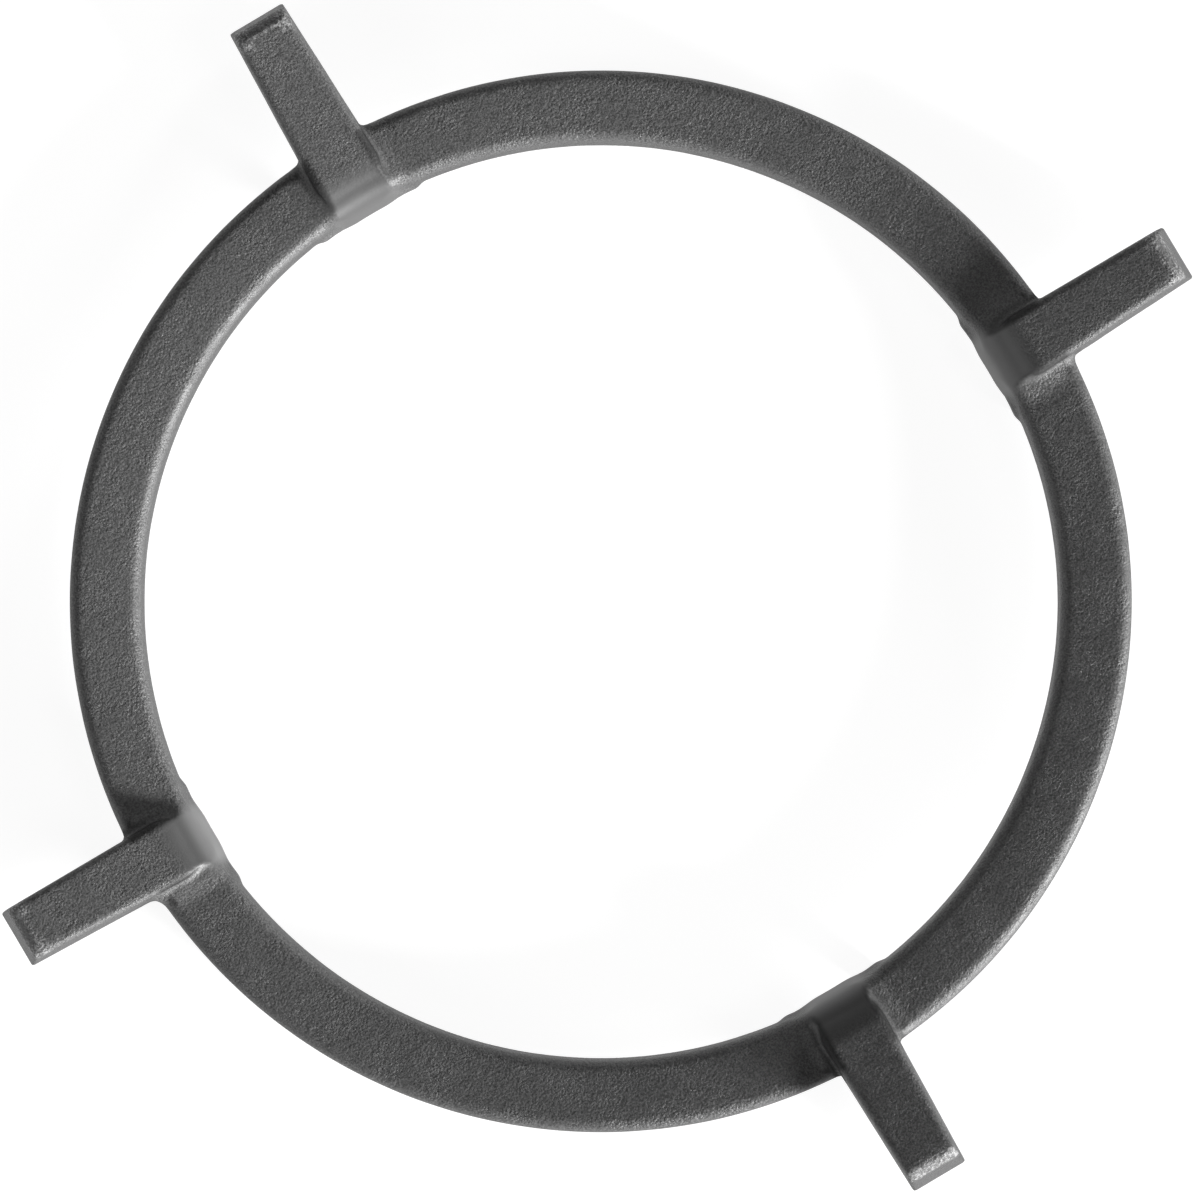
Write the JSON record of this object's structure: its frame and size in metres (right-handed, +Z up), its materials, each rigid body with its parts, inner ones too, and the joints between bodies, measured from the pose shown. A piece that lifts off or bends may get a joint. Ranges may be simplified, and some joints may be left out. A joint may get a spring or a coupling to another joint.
{
  "type": "wok ring",
  "caption": "One-piece cast iron wok ring: a crowned ring with raised arms that slope to the bore, and locating lugs under each arm.",
  "frame": {"origin": "on the ring's axis, level with the feet of the locating lugs", "axes": "+Z up along the ring's axis, out of the side with the raised arms; the arms lie along X and Y"},
  "size_m": [0.275, 0.275, 0.0222],
  "materials": {
    "cast_iron": "matt charcoal, sand-cast grain"
  },
  "bodies": {
    "root": {"wok_ring": "cast_iron"}
  },
  "joints": []
}
